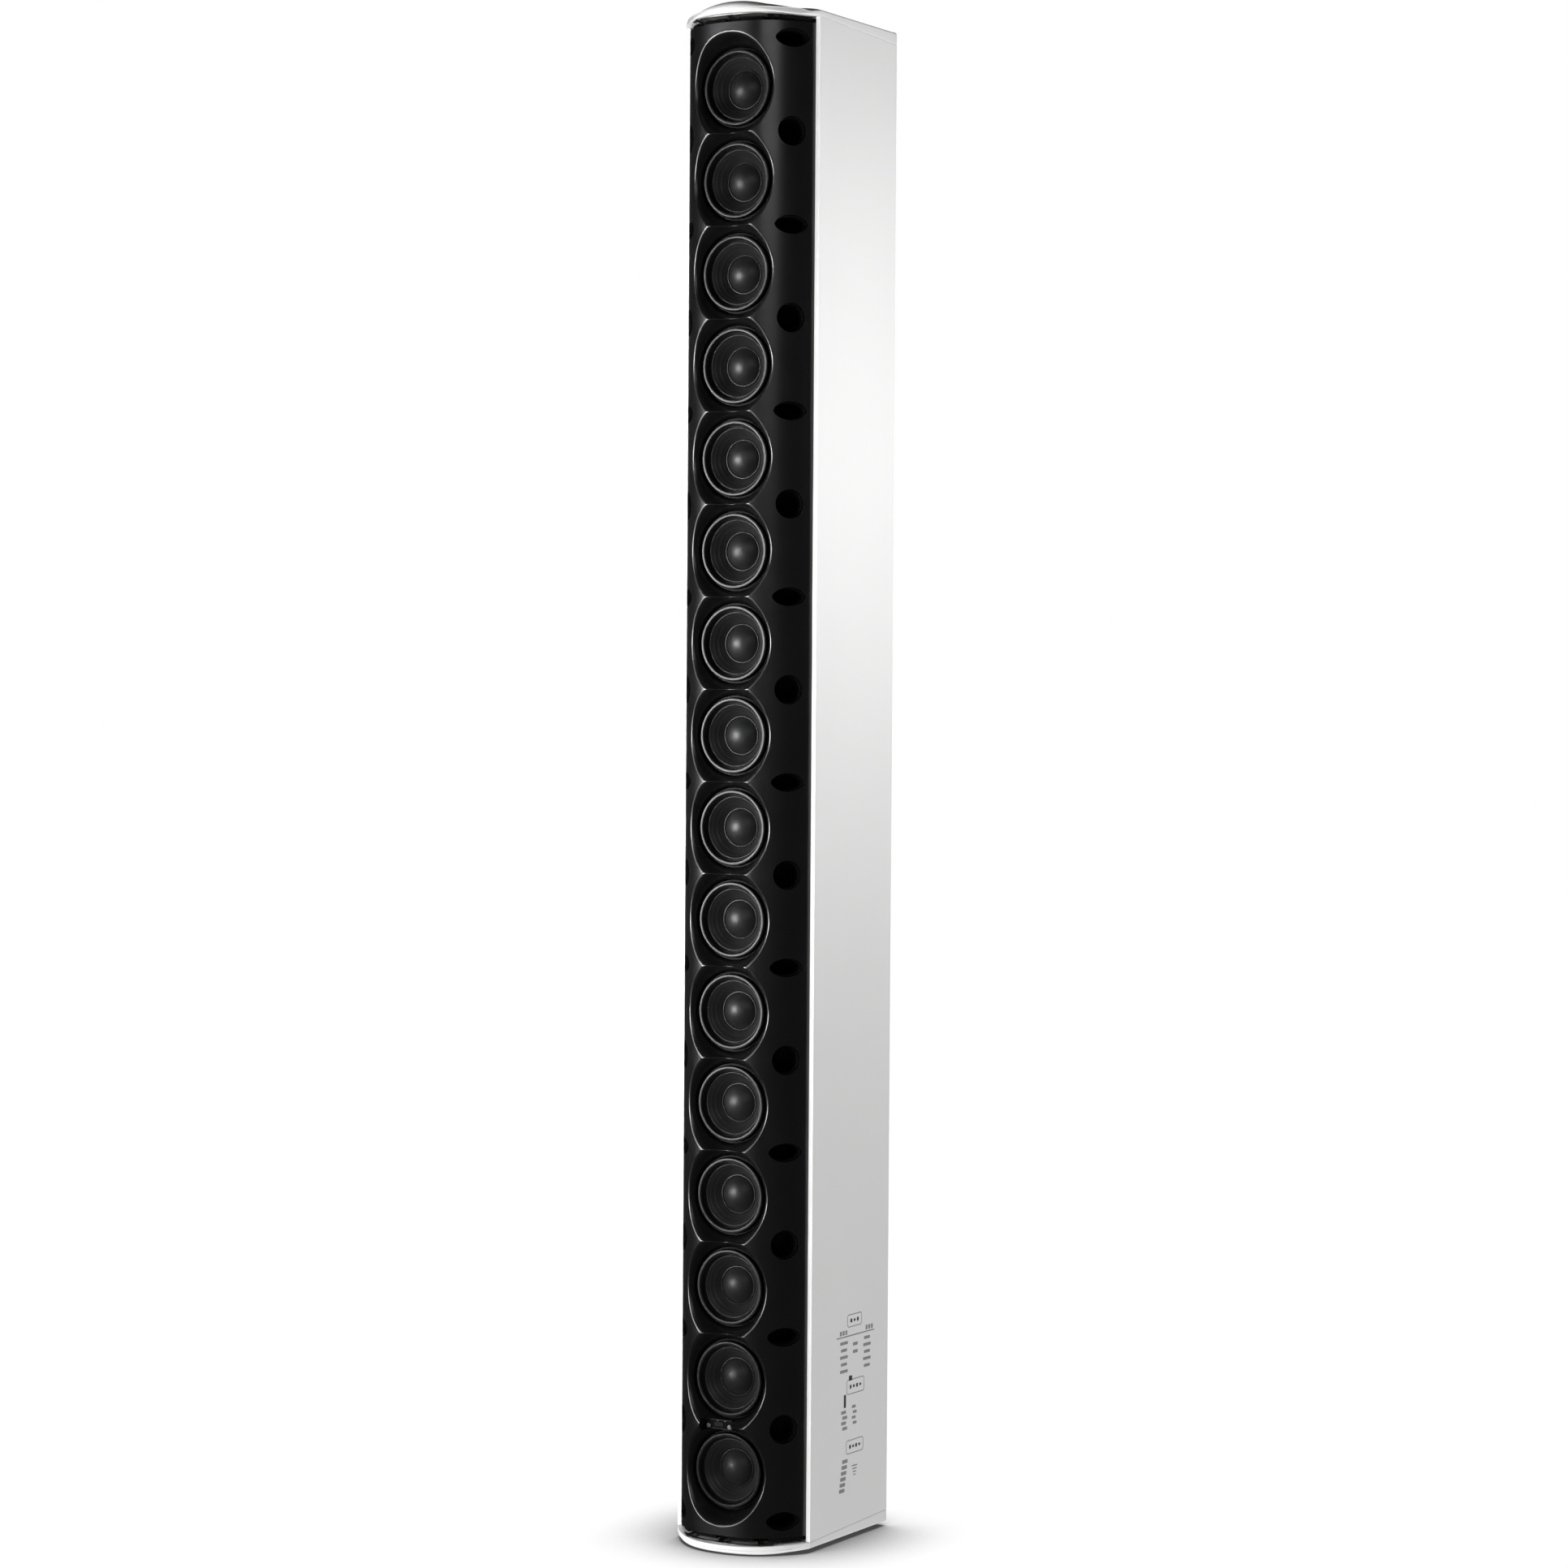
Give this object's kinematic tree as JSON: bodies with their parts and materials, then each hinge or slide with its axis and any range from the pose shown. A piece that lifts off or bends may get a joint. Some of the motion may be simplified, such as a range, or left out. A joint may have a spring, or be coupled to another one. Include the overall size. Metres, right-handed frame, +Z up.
{
  "type": "column loudspeaker",
  "caption": "Tall powered column loudspeaker: a row of small full-range drivers in a bulged black baffle, in a white extruded enclosure with end caps.",
  "frame": {"origin": "centre of the base, in the plane of the bottom cap's lowest face", "axes": "+Z up along the column; the drivers face -Y; +X is the column's own left side, seen on the right from the front"},
  "size_m": [0.142, 0.1896, 1.4006],
  "materials": {
    "white_enclosure": "fine satin powder coat",
    "white_cap": "satin moulding",
    "black_baffle": "fine textured satin",
    "driver_frame": "black enamel",
    "driver_cone": "treated cone and rubber surround",
    "clip_steel": "spring steel strip",
    "black_aluminium": "black anodised",
    "zinc": "zinc plated",
    "black_fitting": "black nylon",
    "terminal_green": "green nylon",
    "board": "solder mask",
    "sleeve": "braided sleeve",
    "window": "diffusing window"
  },
  "bodies": {
    "root": {"cabinet_extrusion": "white_enclosure", "top_cap": "white_cap", "bottom_cap": "white_cap", "upper_grille_clips": "clip_steel", "lower_grille_clips": "clip_steel", "front_baffle": "black_baffle", "indicator_housing": "black_fitting", "mains_inlet": "black_fitting", "fuse_holder": "black_fitting", "indicator_lens": "window", "network_socket_primary": "zinc", "network_socket_secondary": "zinc", "power_supply": "zinc", "amplifier_module_upper": "zinc", "amplifier_module_lower": "zinc", "audio_input_terminal": "terminal_green", "contact_terminal": "terminal_green", "connector_plate": "black_aluminium", "rear_heatsink": "black_aluminium", "upper_bracket_plate": "black_aluminium", "lower_bracket_plate": "black_aluminium", "signal_processor_board": "board", "wiring_trunk": "sleeve", "driver_01_basket": "driver_frame", "driver_02_basket": "driver_frame", "driver_03_basket": "driver_frame", "driver_04_basket": "driver_frame", "driver_05_basket": "driver_frame", "driver_06_basket": "driver_frame", "driver_07_basket": "driver_frame", "driver_08_basket": "driver_frame", "driver_09_basket": "driver_frame", "driver_10_basket": "driver_frame", "driver_11_basket": "driver_frame", "driver_12_basket": "driver_frame", "driver_13_basket": "driver_frame", "driver_14_basket": "driver_frame", "driver_15_basket": "driver_frame", "driver_16_basket": "driver_frame"},
    "driver_01": {"driver_01_diaphragm": "driver_cone"},
    "driver_02": {"driver_02_diaphragm": "driver_cone"},
    "driver_03": {"driver_03_diaphragm": "driver_cone"},
    "driver_04": {"driver_04_diaphragm": "driver_cone"},
    "driver_05": {"driver_05_diaphragm": "driver_cone"},
    "driver_06": {"driver_06_diaphragm": "driver_cone"},
    "driver_07": {"driver_07_diaphragm": "driver_cone"},
    "driver_08": {"driver_08_diaphragm": "driver_cone"},
    "driver_09": {"driver_09_diaphragm": "driver_cone"},
    "driver_10": {"driver_10_diaphragm": "driver_cone"},
    "driver_11": {"driver_11_diaphragm": "driver_cone"},
    "driver_12": {"driver_12_diaphragm": "driver_cone"},
    "driver_13": {"driver_13_diaphragm": "driver_cone"},
    "driver_14": {"driver_14_diaphragm": "driver_cone"},
    "driver_15": {"driver_15_diaphragm": "driver_cone"},
    "driver_16": {"driver_16_diaphragm": "driver_cone"}
  },
  "joints": [
    {"name": "driver_01_travel", "type": "slide", "parent": "root", "child": "driver_01", "axis": [0, -1, 0], "range_m": [-0.0025, 0.0025], "stiffness_N_per_m": 1500},
    {"name": "driver_02_travel", "type": "slide", "parent": "root", "child": "driver_02", "axis": [0, -1, 0], "range_m": [-0.0025, 0.0025], "stiffness_N_per_m": 1500},
    {"name": "driver_03_travel", "type": "slide", "parent": "root", "child": "driver_03", "axis": [0, -1, 0], "range_m": [-0.0025, 0.0025], "stiffness_N_per_m": 1500},
    {"name": "driver_04_travel", "type": "slide", "parent": "root", "child": "driver_04", "axis": [0, -1, 0], "range_m": [-0.0025, 0.0025], "stiffness_N_per_m": 1500},
    {"name": "driver_05_travel", "type": "slide", "parent": "root", "child": "driver_05", "axis": [0, -1, 0], "range_m": [-0.0025, 0.0025], "stiffness_N_per_m": 1500},
    {"name": "driver_06_travel", "type": "slide", "parent": "root", "child": "driver_06", "axis": [0, -1, 0], "range_m": [-0.0025, 0.0025], "stiffness_N_per_m": 1500},
    {"name": "driver_07_travel", "type": "slide", "parent": "root", "child": "driver_07", "axis": [0, -1, 0], "range_m": [-0.0025, 0.0025], "stiffness_N_per_m": 1500},
    {"name": "driver_08_travel", "type": "slide", "parent": "root", "child": "driver_08", "axis": [0, -1, 0], "range_m": [-0.0025, 0.0025], "stiffness_N_per_m": 1500},
    {"name": "driver_09_travel", "type": "slide", "parent": "root", "child": "driver_09", "axis": [0, -1, 0], "range_m": [-0.0025, 0.0025], "stiffness_N_per_m": 1500},
    {"name": "driver_10_travel", "type": "slide", "parent": "root", "child": "driver_10", "axis": [0, -1, 0], "range_m": [-0.0025, 0.0025], "stiffness_N_per_m": 1500},
    {"name": "driver_11_travel", "type": "slide", "parent": "root", "child": "driver_11", "axis": [0, -1, 0], "range_m": [-0.0025, 0.0025], "stiffness_N_per_m": 1500},
    {"name": "driver_12_travel", "type": "slide", "parent": "root", "child": "driver_12", "axis": [0, -1, 0], "range_m": [-0.0025, 0.0025], "stiffness_N_per_m": 1500},
    {"name": "driver_13_travel", "type": "slide", "parent": "root", "child": "driver_13", "axis": [0, -1, 0], "range_m": [-0.0025, 0.0025], "stiffness_N_per_m": 1500},
    {"name": "driver_14_travel", "type": "slide", "parent": "root", "child": "driver_14", "axis": [0, -1, 0], "range_m": [-0.0025, 0.0025], "stiffness_N_per_m": 1500},
    {"name": "driver_15_travel", "type": "slide", "parent": "root", "child": "driver_15", "axis": [0, -1, 0], "range_m": [-0.0025, 0.0025], "stiffness_N_per_m": 1500},
    {"name": "driver_16_travel", "type": "slide", "parent": "root", "child": "driver_16", "axis": [0, -1, 0], "range_m": [-0.0025, 0.0025], "stiffness_N_per_m": 1500}
  ]
}
